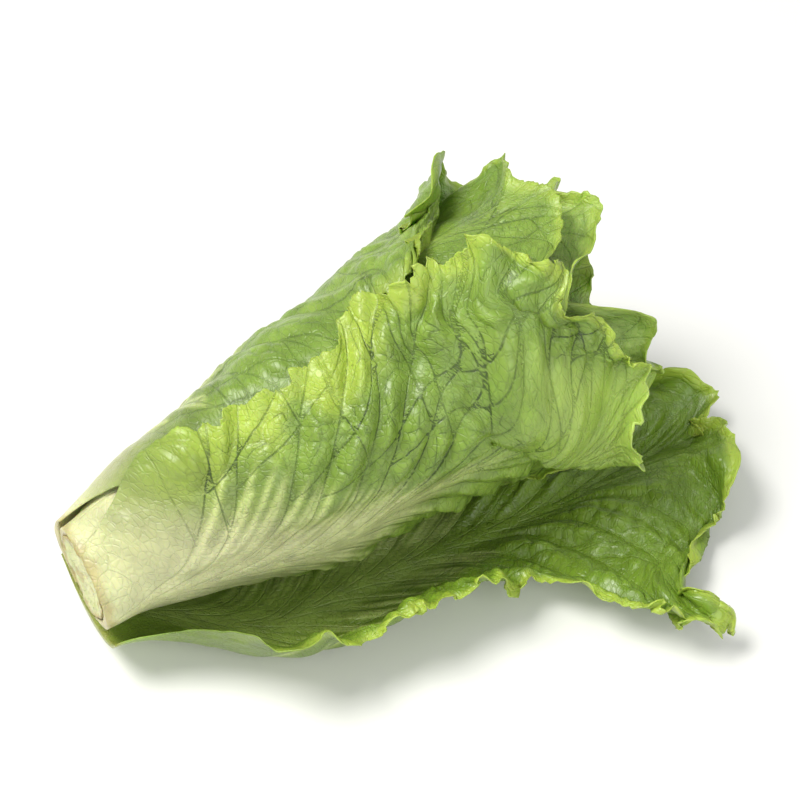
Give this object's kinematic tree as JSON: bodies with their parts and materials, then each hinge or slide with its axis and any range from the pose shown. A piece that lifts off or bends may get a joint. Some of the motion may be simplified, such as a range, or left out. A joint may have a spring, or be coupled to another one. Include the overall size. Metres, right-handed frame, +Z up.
{
  "type": "lettuce",
  "caption": "Loose head of green lettuce lying on its side, with a cut stem, waved overlapping leaves and one fallen outer leaf.",
  "frame": {"origin": "on the surface, at the flat spot of the lowest leaf that carries the head", "axes": "+X from the cut stem towards the leaf tips, +Z up, -Y the side the fallen leaf spreads to"},
  "size_m": [0.2816, 0.1976, 0.1354],
  "materials": {
    "stem": "moist, matt, pale cream cut stem",
    "heart_leaf": "satin, pale yellow-green leaf",
    "wrapper_leaf": "satin, light green leaf, slightly see-through",
    "outer_leaf": "wet satin, fresh green leaf with a cream midrib",
    "lowest_leaf": "wet satin, deep green leaf with a cream midrib"
  },
  "bodies": {
    "root": {"cut_stem": "stem", "heart_leaf_1": "heart_leaf", "heart_leaf_2": "heart_leaf", "heart_leaf_3": "heart_leaf", "heart_leaf_4": "heart_leaf", "heart_leaf_5": "heart_leaf", "heart_leaf_6": "heart_leaf", "wrapper_leaf_1": "wrapper_leaf", "wrapper_leaf_2": "wrapper_leaf", "wrapper_leaf_3": "wrapper_leaf", "wrapper_leaf_4": "wrapper_leaf", "wrapper_leaf_5": "wrapper_leaf", "outer_leaf_top": "outer_leaf", "outer_leaf_back": "outer_leaf", "outer_leaf_front": "outer_leaf", "outer_leaf_lowest": "lowest_leaf"}
  },
  "joints": []
}
